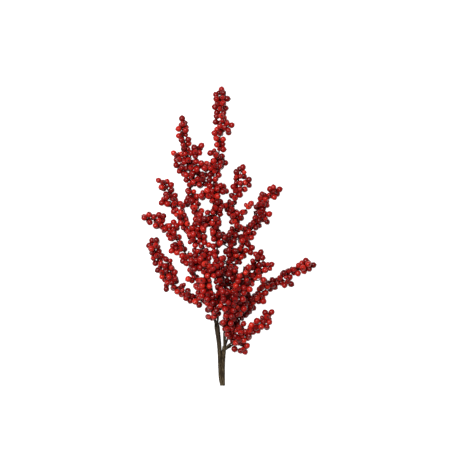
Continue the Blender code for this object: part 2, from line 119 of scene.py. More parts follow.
# Each shoot: the length of its bare foot, which is part of the stem, its middle line from
# its fork to its tip, and its side twigs. A shoot with a bare foot of 0 forks from another.
shoots = {
    "spray_leader": (
        24,
        [(-9, 98, 26), (-7, 120, 40), (-5, 145, 49), (-5, 170, 53), (-8, 202, 55), (-9, 236, 54),
         (-12, 272, 52), (-8, 296, 50), (-14, 326, 47), (-13, 357, 44), (-6, 384, 42),
         (-4, 412, 39), (-1, 434, 36), (-5, 456, 33), (-4, 470, 30), (-2, 487, 28)],
        [[(-5, 462, 32), (0, 471, 35), (3, 479, 36)],
         [(-4, 471, 30), (-9, 479, 29)],
         [(-3, 413, 39), (4, 424, 42), (12, 429, 44)],
         [(-8, 378, 43), (-13, 387, 46)],
         [(-13, 361, 44), (-4, 370, 38), (2, 370, 34)],
         [(-13, 350, 45), (-20, 359, 41), (-24, 365, 39)],
         [(-14, 322, 47), (-4, 326, 42), (3, 324, 38)],
         [(-9, 298, 50), (-20, 310, 55), (-30, 318, 56)],
         [(-11, 280, 51), (-24, 284, 58), (-34, 278, 62)],
         [(-12, 260, 52), (-21, 267, 56), (-28, 267, 58)],
         [(-9, 238, 54), (-1, 247, 50), (5, 252, 48)]],
    ),
    "spray_tall_left": (
        44,
        [(-11, 103, 27), (-14, 130, 37), (-17, 160, 42), (-23, 192, 42), (-27, 219, 40),
         (-34, 241, 37), (-38, 268, 36), (-43, 298, 37), (-52, 326, 40), (-54, 356, 43),
         (-57, 386, 46), (-65, 416, 48), (-66, 437, 49)],
        [[(-54, 351, 42), (-65, 357, 38), (-73, 363, 36)],
         [(-55, 366, 44), (-66, 375, 40), (-77, 383, 38)],
         [(-56, 376, 45), (-45, 386, 52), (-37, 394, 55)],
         [(-54, 356, 44), (-42, 365, 49), (-33, 362, 52)],
         [(-53, 340, 41), (-40, 347, 36), (-31, 349, 33)],
         [(-52, 331, 40), (-41, 336, 46), (-31, 338, 49)],
         [(-34, 241, 37), (-46, 241, 42), (-57, 245, 45)],
         [(-26, 212, 40), (-35, 217, 34), (-43, 223, 31)]],
    ),
    "spray_upper_right": (
        26,
        [(3, 63, 18), (3, 92, 24), (8, 120, 27), (12, 150, 28), (14, 178, 29), (16, 208, 30),
         (15, 240, 31), (22, 268, 32), (17, 294, 34), (23, 320, 36), (27, 343, 38), (32, 358, 39)],
        [[(24, 324, 36), (33, 332, 33), (40, 338, 31)],
         [(27, 341, 38), (24, 350, 42)],
         [(18, 292, 34), (10, 301, 29), (3, 303, 26)],
         [(20, 264, 32), (31, 280, 36), (39, 293, 38), (44, 299, 39)],
         [(16, 236, 31), (24, 243, 27), (31, 249, 25)],
         [(14, 182, 29), (5, 188, 25)],
         [(15, 200, 30), (6, 207, 26), (0, 208, 24)],
         [(14, 178, 29), (25, 184, 22), (33, 183, 18)],
         [(15, 226, 31), (4, 234, 25), (-4, 236, 22)],
         [(13, 160, 28), (1, 168, 22), (-6, 175, 19)]],
    ),
    "spray_left": (
        40,
        [(-11, 102, 26), (-18, 130, 25), (-28, 158, 28), (-43, 182, 29), (-53, 208, 28),
         (-68, 230, 26), (-81, 250, 23), (-97, 266, 21), (-112, 275, 21), (-126, 280, 22)],
        [[(-45, 184, 29), (-53, 180, 33)],
         [(-56, 212, 28), (-62, 211, 22)],
         [(-59, 217, 27), (-55, 224, 22)],
         [(-70, 234, 25), (-77, 230, 29), (-81, 227, 31)],
         [(-84, 254, 23), (-88, 248, 17)],
         [(-115, 277, 21), (-121, 278, 26), (-126, 275, 27)],
         [(-100, 268, 21), (-106, 269, 17), (-111, 267, 14)],
         [(-100, 268, 22), (-102, 279, 26)]],
    ),
    "spray_upper_left": (
        0,
        [(-38, 246, 37), (-45, 254, 30), (-58, 268, 22), (-70, 284, 15), (-79, 301, 10.5),
         (-88, 319, 9.4), (-94, 332, 10.5), (-103, 339, 12)],
        [[(-56, 268, 22), (-66, 265, 26), (-77, 270, 28)],
         [(-73, 290, 13), (-65, 297, 18), (-61, 303, 20)],
         [(-80, 304, 10), (-88, 310, 15), (-97, 306, 17)],
         [(-95, 335, 11), (-102, 331, 15)]],
    ),
    "spray_lower_left": (
        38,
        [(-11, 104, 25), (-21, 128, 17), (-36, 142, 14), (-54, 149, 13), (-73, 162, 12),
         (-90, 177, 11), (-102, 195, 11), (-110, 217, 11.5), (-116, 238, 12)],
        [[(-80, 168, 12), (-84, 182, 18), (-88, 196, 22), (-92, 207, 23)],
         [(-66, 156, 12.5), (-69, 165, 18)],
         [(-30, 136, 15), (-36, 149, 18), (-42, 157, 19)],
         [(-112, 224, 12), (-111, 232, 17), (-110, 238, 20)],
         [(-108, 211, 11.5), (-115, 214, 15)],
         [(-85, 171, 12), (-92, 168, 15)]],
    ),
    "spray_right": (
        0,
        [(15, 196, 30), (24, 206, 25), (32, 226, 18), (40, 245, 13), (50, 262, 10),
         (61, 279, 9.4), (61, 298, 9.4), (68, 312, 9.8), (78, 320, 11), (91, 325, 14)],
        [[(57, 272, 10), (66, 278, 15), (74, 283, 18)],
         [(36, 235, 16), (42, 231, 20), (45, 225, 23)],
         [(44, 250, 13), (39, 259, 18), (40, 268, 21)],
         [(58, 274, 10), (53, 283, 15), (52, 291, 17)],
         [(62, 302, 9.4), (68, 302, 14), (73, 305, 16)]],
    ),
    "spray_mid_right": (
        0,
        [(11, 143, 28), (22, 157, 36), (38, 173, 43), (55, 188, 48), (54, 203, 52), (61, 219, 55)],
        [[(50, 184, 46), (43, 194, 52), (42, 205, 56)],
         [(55, 188, 48), (66, 196, 48), (77, 201, 48)],
         [(46, 180, 45), (57, 176, 40), (66, 180, 37)]],
    ),
    "spray_far_right": (
        16,
        [(4, 65, 17), (13, 92, 20), (29, 117, 19), (50, 138, 17), (70, 159, 15), (91, 175, 13),
         (112, 188, 12), (133, 197, 12), (147, 200, 13)],
        [[(10, 86, 19), (14, 94, 29), (12, 101, 35)],
         [(36, 125, 18), (40, 121, 22)],
         [(42, 131, 18), (40, 142, 24), (41, 149, 27)],
         [(52, 140, 17), (60, 143, 20), (64, 146, 22)],
         [(66, 155, 16), (65, 166, 21), (64, 174, 24)],
         [(98, 179, 13), (104, 174, 17), (110, 171, 19)],
         [(130, 193, 12), (135, 200, 16), (141, 203, 18)]],
    ),
    "spray_lower_right": (
        14,
        [(5, 63, 17), (12, 70, 20), (25, 79, 25), (39, 86, 29), (53, 97, 32), (65, 107, 34),
         (72, 115, 35), (78, 121, 35)],
        [[(54, 98, 32), (63, 100, 36), (71, 105, 38)],
         [(34, 84, 28), (41, 84, 25)],
         [(29, 81, 27), (28, 92, 33), (33, 102, 37)]],
    ),
    "spray_foot_right": (
        9,
        [(5, 61, 15), (13, 66, 12), (23, 71, 10.6), (32, 68, 10.5), (36, 60, 10.6)],
        [],
    ),
    "spray_front_centre": (
        22,
        [(3, 65, 19), (5, 88, 32), (9, 110, 46), (17, 132, 58), (26, 155, 65), (32, 178, 68),
         (35, 200, 68)],
        [[(20, 140, 61), (10, 148, 68), (3, 156, 71)],
         [(13, 122, 53), (24, 127, 48), (33, 134, 45)],
         [(28, 162, 66), (40, 166, 68), (46, 172, 69)],
         [(31, 174, 68), (21, 184, 70), (16, 192, 70)]],
    ),
    "spray_front_left": (
        20,
        [(-10, 98, 27), (-14, 118, 42), (-19, 142, 54), (-26, 166, 60), (-30, 188, 62),
         (-30, 208, 61)],
        [[(-15, 126, 46), (-4, 130, 57), (2, 134, 62)],
         [(-13, 120, 43), (-18, 119, 40), (-19, 113, 37)],
         [(-22, 152, 57), (-33, 156, 52), (-40, 163, 48)],
         [(-28, 178, 61), (-17, 188, 68), (-10, 194, 70)],
         [(-29, 192, 62), (-42, 198, 56), (-49, 206, 52)]],
    ),
}

# Open spots between the shoots, seen from above, where no hip grows: from one point to
# another, and how far to each side.
openSpots = [
    ((-39, 321), (-46, 328), 2),
    ((7, 310), (2, 306), 2),
    ((-24, 297), (-30, 302), 6),
    ((-51, 271), (-56, 294), 3),
    ((37, 271), (48, 290), 5),
    ((4, 263), (5, 275), 6),
    ((-21, 241), (-24, 261), 3),
    ((-54, 225), (-69, 257), 3),
    ((22, 231), (26, 236), 2),
    ((-93, 275), (-86, 271), 2),
    ((27, 302), (33, 298), 3),
    ((-4, 219), (1, 232), 2),
    ((30, 193), (37, 207), 4),
    ((67, 184), (97, 194), 3),
    ((-37, 184), (-38, 189), 3),
    ((-13, 159), (-17, 180), 2),
    ((50, 158), (58, 176), 3),
    ((-47, 156), (-52, 166), 3),
    ((-3, 112), (1, 124), 2),
    ((-2, 73), (-1, 99), 1),
]

# A shoot and the other shoot that it forks from.
forksFrom = {
    "spray_upper_left": "spray_tall_left",
    "spray_right": "spray_upper_right",
    "spray_mid_right": "spray_upper_right",
}

# The hips that the sprays rest on: the shoot, and how far along it the hip hangs straight down.
restingHips = {
    "spray_upper_left": 92.0,
    "spray_right": 118.0,
}


# Lines and twigs

def curveThrough(points):
    # A smooth curve through the points, as closely spaced points
    points = [Vector(point) for point in points]
    ends = [2 * points[0] - points[1]] + points + [2 * points[-1] - points[-2]]
    curve = [points[0]]
    for before, start, end, after in zip(ends, ends[1:], ends[2:], ends[3:]):
        count = max(1, round((end - start).length / growth["pathStep"]))
        for i in range(1, count + 1):
            t = i / count
            bend = (2 * before - 5 * start + 4 * end - after) * t * t
            twist = (3 * start - before - 3 * end + after) * t * t * t
            curve.append((2 * start + (end - before) * t + bend + twist) / 2)
    return curve


def lengthOf(path):
    return sum((b - a).length for a, b in zip(path, path[1:]))


def placeOn(path, distance):
    # The point of a path at a distance from its start, and the direction there
    for a, b in zip(path, path[1:]):
        step = b - a
        if distance <= step.length or b is path[-1]:
            return a + step * (distance / step.length), step.normalized()
        distance -= step.length


def stretchOf(path, start, end):
    inner = []
    distance = 0.0
    for a, b in zip(path, path[1:]):
        distance += (b - a).length
        if start + growth["pathEnd"] < distance < end - growth["pathEnd"]:
            inner.append(b)
    return [placeOn(path, start)[0]] + inner + [placeOn(path, end)[0]]


def across(direction):
    # Two directions square to another: one level, one as near upright as it goes
    if abs(direction.z) > growth["upright"]:
        return Vector((1, 0, 0)), Vector((0, 1, 0))
    level = direction.cross(Vector((0, 0, 1))).normalized()
    return level, level.cross(direction).normalized()


def nearestBetween(start, end, point):
    step = end - start
    part = min(1.0, max(0.0, (point - start).dot(step) / step.length_squared))
    return start + step * part


def gapBetween(start, end, point):
    return (nearestBetween(start, end, point) - point).length


class Twig:
    # The solid's twig of a few sides, which says where its hips stand
    def __init__(self, path, radii, sides, turn=0.0, ringStep=growth["ringStep"]):
        self.path = path
        self.radii = radii
        self.sides = sides
        self.length = lengthOf(path)
        self.stretches = max(1, round(self.length / ringStep))
        self.middles = []
        self.rings = []
        for number in range(self.stretches + 1):
            distance = self.length * number / self.stretches
            middle, direction = placeOn(path, distance)
            level, upright = across(direction)
            radius = radii[0] + (radii[1] - radii[0]) * distance / self.length
            ring = []
            for side in range(sides):
                angle = turn + growth["twigTwist"] * number + 2 * math.pi * side / sides
                out = level * math.cos(angle) + upright * math.sin(angle)
                ring.append(middle + out * radius)
            self.middles.append(middle)
            self.rings.append(ring)

    def sidePlace(self, distance, side):
        along = distance / self.length * self.stretches
        number = min(self.stretches - 1, int(along))
        along -= number
        corners = []
        for ring in self.rings[number : number + 2]:
            corners.append((ring[side] + ring[(side + 1) % self.sides]) / 2)
        place = corners[0].lerp(corners[1], along)
        middle = self.middles[number].lerp(self.middles[number + 1], along)
        return place, (place - middle).normalized()

    def nearest(self, point):
        pairs = zip(self.middles, self.middles[1:])
        found = [nearestBetween(a, b, point) for a, b in pairs]
        return min(found, key=lambda place: (place - point).length)

    def gapTo(self, point):
        pairs = zip(self.middles, self.middles[1:])
        return min(gapBetween(a, b, point) for a, b in pairs) - self.radii[0]


def layStalks():
    stalks = []
    for points in (leftStalk, rightStalk):
        path = curveThrough([point[:3] for point in points])
        radii = (growth["stalkRadius"], growth["stalkRadius"])
        sides, step = growth["stalkSides"], growth["stalkRingStep"]
        stalks.append(Twig(path, radii, sides, ringStep=step))
    return stalks


def layTwigs():
    # The bare feet of the shoots, which belong to the stem, and the twigs of each spray
    rng = random.Random(growth["seed"])
    paths = {name: curveThrough(shoot[1]) for name, shoot in shoots.items()}
    radii = (growth["bareRadius"], growth["shootRadius"])
    whole = {name: Twig(path, radii, growth["twigSides"]) for name, path in paths.items()}
    feet = []
    sprays = {}
    for name, path in paths.items():
        bare, sides = shoots[name][0], shoots[name][2]
        start = bare + growth["clearance"]
        if bare:
            foot = stretchOf(path, 0.0, bare)
            feet.append(Twig(foot, (radii[0], radii[0]), growth["bareSides"]))
        else:
            parent = whole[forksFrom[name]]
            room = growth["bareRadius"] + growth["clearance"]
            while parent.gapTo(placeOn(path, start)[0]) < room:
                start += growth["forkStep"]
        shoot = stretchOf(path, start, lengthOf(path))
        twigs = [Twig(shoot, radii, growth["twigSides"], rng.uniform(0, math.pi))]
        for side in sides:
            thin = (growth["sideTwigRadius"], growth["sideTwigRadius"])
            root = twigs[0].nearest(Vector(side[0]))
            line = curveThrough([root] + side[1:])
            twigs.append(Twig(line, thin, growth["twigSides"], rng.uniform(0, math.pi)))
        sprays[name] = twigs
    return feet, sprays


# Hips

class Hip:
    def __init__(self, middle, radius, out):
        self.middle = middle
        self.radius = radius
        self.out = out


def inOpenSpot(middle, radius):
    seen = Vector((middle.x, middle.y, 0))
    for start, end, halfWidth in openSpots:
        gap = gapBetween(Vector((*start, 0)), Vector((*end, 0)), seen)
        if gap < halfWidth + radius * growth["gapEdge"]:
            return True
    return False


def isClear(hip, name, hips, sprays, wood):
    corner = hip.radius * growth["corner"]
    if hip.middle.z - corner < growth["lowestHip"] or inOpenSpot(hip.middle, hip.radius):
        return False
    for other, placed in hips.items():
        for old in placed:
            apart = (hip.middle - old.middle).length
            if other == name:
                if apart < growth["hipApart"] * (hip.radius + old.radius):
                    return False
            elif apart < corner + old.radius * growth["corner"] + growth["clearance"]:
                return False
    room = corner + growth["clearance"]
    for other, twigs in sprays.items():
        if other != name and any(twig.gapTo(hip.middle) < room for twig in twigs):
            return False
    return all(piece.gapTo(hip.middle) >= room for piece in wood)


def hipOn(place, out, radius, rootLength, sunk=growth["hipSunk"]):
    reach = radius * growth["corner"] + rootLength - sunk
    return Hip(place + out * reach, radius, out)


def restingHip(twig, distance):
    place = placeOn(twig.path, distance)[0]
    radius = growth["hipRadius"]
    return Hip(Vector((place.x, place.y, radius * growth["flatReach"])), radius, downwards)


def growHips(sprays, wood):
    # The hips that the solids have, at the same places
    rng = random.Random(growth["seed"])
    hips = {name: [] for name in sprays}
    for name, distance in restingHips.items():
        hips[name].append(restingHip(sprays[name][0], distance))
    for name, twigs in sprays.items():
        for twig in twigs:
            radius = growth["hipRadius"] + growth["hipSpread"] * rng.uniform(-1, 1)
            tip, direction = placeOn(twig.path, twig.length)
            last = hipOn(tip, direction, radius, growth["rootLength"], growth["tipSunk"])
            if isClear(last, name, hips, sprays, wood):
                hips[name].append(last)
            firstSide = rng.randrange(growth["twigSides"])
            for number in range(twig.stretches * growth["hipsPerStretch"]):
                slip = rng.uniform(-growth["hipSlip"], growth["hipSlip"])
                along = ((number + 0.5) / growth["hipsPerStretch"] + slip) / twig.stretches
                radius = growth["hipRadius"] + growth["hipSpread"] * rng.uniform(-1, 1)
                if rng.random() < growth["smallHipShare"]:
                    radius = growth["smallHipRadius"]
                rootLength = growth["rootLength"]
                if rng.random() < growth["outerHipShare"]:
                    rootLength = growth["outerRootLength"]
                for turn in range(growth["twigSides"]):
                    side = (firstSide + number + turn) % growth["twigSides"]
                    place, out = twig.sidePlace(along * twig.length, side)
                    hip = hipOn(place, out, radius, rootLength)
                    if isClear(hip, name, hips, sprays, wood):
                        hips[name].append(hip)
                        break
    return hips


# The rest of the hips, which the solids have no faces for, crowd in round the same twigs
crowd = {
    "seed": 11,
    "passes": 11,
    "tryStep": 1.1,  # of twig for each try in a pass
    "radius": (4.8, 5.5),
    "smallRadius": (3.7, 4.5),
    "smallShare": 0.14,
    "stalkLength": (0.0, 2.6),  # between a hip and the middle of its twig
    "lean": (0.0, 0.75),  # towards the twig's tip
    "closeness": 0.82,  # of two radii, the least between the middles of two hips
    "twigRoom": 0.5,  # the radius round a twig's middle line that no hip's ball enters
    "lowest": 0.4,  # between the surface and a hip
    "cell": 12.5,  # more than the radii of any two together
}


class Crowd:
    # Balls kept in coarse cells, so that only near ones are compared
    def __init__(self):
        self.cells = {}

    def cellOf(self, place):
        return tuple(math.floor(value / crowd["cell"]) for value in place)

    def add(self, place, radius):
        self.cells.setdefault(self.cellOf(place), []).append((place, radius))

    def hasRoom(self, hip, closeness):
        x, y, z = self.cellOf(hip.middle)
        for i in (x - 1, x, x + 1):
            for j in (y - 1, y, y + 1):
                for k in (z - 1, z, z + 1):
                    for place, radius in self.cells.get((i, j, k), ()):
                        if (place - hip.middle).length < closeness * (hip.radius + radius):
                            return False
        return True


def drawHip(twig, rng):
    # A hip at a drawn place round a twig
    distance = rng.uniform(0, twig.length)
    angle = rng.uniform(0, 2 * math.pi)
    radius = rng.uniform(*crowd["radius"])
    if rng.random() < crowd["smallShare"]:
        radius = rng.uniform(*crowd["smallRadius"])
    stalkLength = rng.uniform(*crowd["stalkLength"])
    lean = rng.uniform(*crowd["lean"])
    root, direction = placeOn(twig.path, distance)
    level, upright = across(direction)
    out = level * math.cos(angle) + upright * math.sin(angle)
    out = (out + direction * lean).normalized()
    return Hip(root + out * (radius + stalkLength), radius, out)


def isInside(hip, lowest, highest):
    # Whether a hip stays above the surface and within the box of the solids
    if hip.middle.z - hip.radius < crowd["lowest"]:
        return False
    for value, low, high in zip(hip.middle, lowest, highest):
        if value - hip.radius < low or value + hip.radius > high:
            return False
    return True


def crowdHips(sprays, hips, wood):
    rng = random.Random(crowd["seed"])
    lowest = solidsBox[0] / millimetre + sprigMiddle
    highest = solidsBox[1] / millimetre + sprigMiddle
    balls, lines = Crowd(), Crowd()
    for placed in hips.values():
        for hip in placed:
            balls.add(hip.middle, hip.radius)
    for twigs in sprays.values():
        for twig in twigs:
            for place in twig.path:
                lines.add(place, crowd["twigRoom"])
    for piece in wood:
        for place in piece.path:
            lines.add(place, piece.radii[0])
    grown = [(name, twig) for name, twigs in sprays.items() for twig in twigs]
    for name, twig in grown * crowd["passes"]:
        for number in range(int(twig.length / crowd["tryStep"])):
            hip = drawHip(twig, rng)
            if not isInside(hip, lowest, highest) or inOpenSpot(hip.middle, hip.radius):
                continue
            if balls.hasRoom(hip, crowd["closeness"]) and lines.hasRoom(hip, 1.0):
                balls.add(hip.middle, hip.radius)
                hips[name].append(hip)


# Modelling helpers

def toScene(place):
    return (place - sprigMiddle) * millimetre


def pickFaces(test):
    # In edit mode, selects the faces whose middle and normal pass the test
    mesh = bmesh.from_edit_mesh(bpy.context.object.data)
    bpy.ops.mesh.select_mode(type="FACE")
    bpy.ops.mesh.select_all(action="DESELECT")
    for face in mesh.faces:
        face.select_set(test(face.calc_center_median(), face.normal))
    bmesh.update_edit_mesh(bpy.context.object.data)


def pickPoints(test):
    mesh = bmesh.from_edit_mesh(bpy.context.object.data)
    bpy.ops.mesh.select_mode(type="VERT")
    bpy.ops.mesh.select_all(action="DESELECT")
    for point in mesh.verts:
        point.select_set(test(point.co))
    mesh.select_flush(True)
    bmesh.update_edit_mesh(bpy.context.object.data)


def joinPieces(pieces, name):
    bpy.ops.object.select_all(action="DESELECT")
    for piece in pieces:
        piece.select_set(True)
    bpy.context.view_layer.objects.active = pieces[0]
    bpy.ops.object.join()
    pieces[0].name = name
    pieces[0].data.name = name
    return pieces[0]


def drawTubes(name, lines, sides):
    # Round tubes along lines: each is its points and its radius at each point
    bpy.ops.object.select_all(action="DESELECT")
    bpy.ops.curve.primitive_nurbs_path_add()
    tube = bpy.context.object
    tube.name = name
    curve = tube.data
    curve.splines.clear()
    curve.dimensions = "3D"
    curve.bevel_depth = millimetre
    curve.bevel_resolution = (sides - 4) // 2
    curve.use_fill_caps = True
    for places, radii in lines:
        spline = curve.splines.new("POLY")
        spline.points.add(len(places) - 1)
        for point, place, radius in zip(spline.points, places, radii):
            point.co = (*toScene(place), 1)
            point.radius = radius
    bpy.ops.object.convert(target="MESH")
    tube = bpy.context.object
    tube.data.name = name
    return tube


def keepOffSurface(piece):
    # What rests on the surface is pressed flat there
    for point in piece.data.vertices:
        point.co.z = max(point.co.z, 0.0)


# Materials

class Field:
    # A number or a colour that varies over a surface, from a socket of a node
    def __init__(self, paint, socket):
        self.paint = paint
        self.socket = socket

    def reckon(self, operation, first, second):
        return self.paint.node("ShaderNodeMath", {"operation": operation}, {0: first, 1: second})

    def __add__(self, other):
        return self.reckon("ADD", self, other)

    def __sub__(self, other):
        return self.reckon("SUBTRACT", self, other)

    def __mul__(self, other):
        return self.reckon("MULTIPLY", self, other)


class Paint:
    def __init__(self, name):
        self.material = bpy.data.materials.new(name)
        self.material.use_nodes = True
        self.tree = self.material.node_tree
        self.shader = self.tree.nodes["Principled BSDF"]

    def join(self, value, socket):
        if isinstance(value, Field):
            self.tree.links.new(value.socket, socket)
        else:
            socket.default_value = value

    def node(self, kind, settings=None, values=None, output=0):
        made = self.tree.nodes.new(kind)
        for name, setting in (settings or {}).items():
            if name == "stops":
                self.setStops(made.color_ramp, setting)
            else:
                setattr(made, name, setting)
        for name, value in (values or {}).items():
            self.join(value, made.inputs[name])
        return Field(self, made.outputs[output])

    def setStops(self, ramp, stops):
        while len(ramp.elements) < len(stops):
            ramp.elements.new(1.0)
        for element, (position, colour) in zip(ramp.elements, stops):
            element.position = position
            element.color = (*colour, 1.0)

    def mix(self, share, first, second):
        return self.node("ShaderNodeMix", {"data_type": "RGBA"}, {0: share, 6: first, 7: second}, 2)

    def noise(self, place, scale, detail=2.0):
        return self.node("ShaderNodeTexNoise", {}, {"Vector": place, "Scale": scale, "Detail": detail})

    def ramp(self, stops, share):
        return self.node("ShaderNodeValToRGB", {"stops": stops}, {"Fac": share})

    def bump(self, height, strength, distance):
        values = {"Height": height, "Strength": strength, "Distance": distance}
        return self.node("ShaderNodeBump", {}, values)

    def finish(self, **values):
        for name, value in values.items():
            self.join(value, self.shader.inputs[name.replace("_", " ")])
        return self.material


hipLook = {
    "skin": [
        (0.0, (0.055, 0.0010, 0.0010)),
        (0.35, (0.130, 0.0020, 0.0018)),
        (0.7, (0.240, 0.0060, 0.0040)),
        (1.0, (0.430, 0.0200, 0.0090)),
    ],
    "ripeness": (0.49, 0.3),  # the mean and the spread of the draw for each hip
    "calyx": (0.030, 0.005, 0.004),
    "calyxFrom": 0.965,  # of the hip's half length, from its middle
    "calyxDullness": 0.4,
    "mottleScale": 260.0,
    "mottleShare": 0.3,
    "dimpleScale": 900.0,
    "dimple": 0.12,
    "dimpleDepth": 0.0004,
    # painted shade: the dark colour that the root half of each hip is mixed towards, standing in for
    # the shade between the hips near their twigs
    "paintedShadeColour": (0.060, 0.0009, 0.0010),
    "shade": 0.7,
    "shadeFrom": 0.1,  # below the hip's middle, before the slope
    "shadeSlope": 1.3,
    "roughness": (0.11, 0.2),
    "specular": 0.16,
}


def hipSkin():
    paint = Paint("hipSkin")
    place = paint.node("ShaderNodeTexCoord", output="Object")
    ripeness = paint.node("ShaderNodeAttribute", {"attribute_name": "ripeness"}, output="Fac")
    towardsTip = paint.node("ShaderNodeAttribute", {"attribute_name": "towardsTip"}, output="Fac")
    mottle = paint.noise(place, hipLook["mottleScale"], 3.0)
    share = hipLook["mottleShare"]
    skin = paint.ramp(hipLook["skin"], ripeness * (1 - share) + mottle * share)
    # Painted shade: the half of each hip towards its root is darkened, as the shade that falls between
    # the hips and their twigs
    slope = towardsTip * -hipLook["shadeSlope"] - hipLook["shadeFrom"]
    shaded = paint.node("ShaderNodeClamp", {}, {"Value": slope}) * hipLook["shade"]
    skin = paint.mix(shaded, skin, (*hipLook["paintedShadeColour"], 1.0))
    isCalyx = paint.node(
        "ShaderNodeMath", {"operation": "GREATER_THAN"}, {0: towardsTip, 1: hipLook["calyxFrom"]})
    low, high = hipLook["roughness"]
    dimples = paint.noise(place, hipLook["dimpleScale"])
    return paint.finish(
        Base_Color=paint.mix(isCalyx, skin, (*hipLook["calyx"], 1.0)),
        Roughness=mottle * (high - low) + low + isCalyx * hipLook["calyxDullness"],
        Normal=paint.bump(dimples, hipLook["dimple"], hipLook["dimpleDepth"]),
        Specular_IOR_Level=hipLook["specular"],
    )


barkLook = {
    "stops": [
        (0.36, (0.006, 0.0035, 0.0015)),
        (0.5, (0.031, 0.020, 0.009)),
        (0.66, (0.106, 0.082, 0.046)),
    ],
    "young": (0.008, 0.004, 0.0025),  # of the shoots above the fork
    "youngFrom": 56.0,  # from the cut foot, where the bark begins to darken
    "youngSpan": 30.0,
    "youngShare": 0.66,
    "grain": (850.0, 40.0, 850.0),  # of the ridges: fine across, long along the stem
    "patches": 55.0,
    "patchShare": 0.2,
    "roughness": (0.6, 0.85),
    "bump": 0.9,
    "relief": 0.0006,
    "specular": 0.12,
}


def stemBark():
    paint = Paint("stemBark")
    place = paint.node("ShaderNodeTexCoord", output="Object")
    stretched = paint.node("ShaderNodeMapping", {}, {"Vector": place, "Scale": barkLook["grain"]})
    ridges = paint.noise(stretched, 1.0, 4.0)
    patches = paint.noise(place, barkLook["patches"])
    share = barkLook["patchShare"]
    grown = paint.ramp(barkLook["stops"], ridges * (1 - share) + patches * share)
    along = paint.node("ShaderNodeSeparateXYZ", {}, {"Vector": place}, output="Y")
    start = toScene(Vector((0, barkLook["youngFrom"], 0))).y
    climb = (along - start) * (1 / (barkLook["youngSpan"] * millimetre))
    young = paint.node("ShaderNodeClamp", {}, {"Value": climb}) * barkLook["youngShare"]
    low, high = barkLook["roughness"]
    return paint.finish(
        Base_Color=paint.mix(young, grown, (*barkLook["young"], 1.0)),
        Roughness=ridges * (high - low) + low,
        Normal=paint.bump(ridges, barkLook["bump"], barkLook["relief"]),
        Specular_IOR_Level=barkLook["specular"],
    )


cutLook = {
    "name": "cutWood",
    "grain": 1400.0,
    "stops": [(0.35, (0.012, 0.009, 0.006)), (0.65, (0.050, 0.036, 0.022))],
    "roughness": (0.7, 0.9),
    "bump": 0.6,
    "relief": 0.0004,
    "specular": 0.5,
}
twigLook = {
    "name": "twigBark",
    "grain": 420.0,
    "stops": [(0.38, (0.018, 0.0012, 0.0010)), (0.68, (0.052, 0.0070, 0.0045))],
    "roughness": (0.5, 0.8),
    "bump": 0.6,
    "relief": 0.0003,
    "specular": 0.03,
}


def plainWood(look):
    # The cut ends of the stem, and the twigs: one grain between two colours
    paint = Paint(look["name"])
    grain = paint.noise(paint.node("ShaderNodeTexCoord", output="Object"), look["grain"], 3.0)
    low, high = look["roughness"]
    return paint.finish(
        Base_Color=paint.ramp(look["stops"], grain),
        Roughness=grain * (high - low) + low,
        Normal=paint.bump(grain, look["bump"], look["relief"]),
        Specular_IOR_Level=look["specular"],
    )


# The hips of a spray

hipShape = {
    "seed": 23,
    "segments": 10,
    "rings": 6,
    "neck": 0.10,  # how far the root end is drawn out
    "rootBelow": -0.99,
    "crownFrom": 0.88,
    "crownInset": 0.34,
    "crownRise": 0.07,
    "rimBand": 0.014,
    "crownFlare": 1.5,
    "sepalRing": (0.2, 0.45),  # from the hip's axis
    "sepalRoom": 0.1,
    "sepalRise": 0.07,
    "sepalFlare": 1.35,
    "cupDepth": 0.10,
    "narrow": (0.96, 1.02),  # of its length, the width of a copy
    "plump": 1.05,  # of the radius of its place
    "reach": 1.12,  # of its radius, the most that its calyx stands out
}


def modelHip(skin):
    # One hip of radius 1 with its root at the bottom and a small five-pointed calyx on top
    shape = hipShape
    bpy.ops.object.select_all(action="DESELECT")
    bpy.ops.mesh.primitive_uv_sphere_add(
        segments=shape["segments"], ring_count=shape["rings"], radius=1.0)
    hip = bpy.context.object
    hip.name = "hipModel"
    bpy.ops.object.mode_set(mode="EDIT")
    pickPoints(lambda place: place.z < shape["rootBelow"])
    bpy.ops.transform.translate(value=(0, 0, -shape["neck"]))
    pickFaces(lambda middle, normal: middle.z > shape["crownFrom"])
    bpy.ops.mesh.inset(thickness=shape["crownInset"])
    bpy.ops.mesh.extrude_region_move(TRANSFORM_OT_translate={"value": (0, 0, shape["crownRise"])})
    flare = shape["crownFlare"]
    bpy.ops.transform.resize(value=(flare, flare, 1.0))
    top = max(point.co.z for point in bmesh.from_edit_mesh(hip.data).verts)
    pickPoints(lambda place: place.z > top - 0.001)
    bpy.ops.transform.translate(value=(0, 0, -shape["cupDepth"]))
    sepal = 4 * math.pi / shape["segments"]
    inner, outer = shape["sepalRing"]
    room = shape["sepalRoom"]
    rim = top - shape["rimBand"] - room

    def isSepal(place):
        turn = math.atan2(place.y, place.x) / sepal
        onRing = inner < math.hypot(place.x, place.y) < outer
        return onRing and place.z > rim and abs(turn - round(turn)) < room

    pickPoints(isSepal)
    bpy.ops.transform.translate(value=(0, 0, shape["sepalRise"]))
    bpy.ops.transform.resize(value=(shape["sepalFlare"], shape["sepalFlare"], 1.0))
    bpy.ops.object.mode_set(mode="OBJECT")
    bpy.ops.object.shade_smooth()
    for name in ("ripeness", "towardsTip"):
        hip.data.attributes.new(name, "FLOAT", "POINT")
    heights = [point.co.z for point in hip.data.vertices]
    hip.data.attributes["towardsTip"].data.foreach_set("value", heights)
    hip.data.materials.append(skin)
    return hip


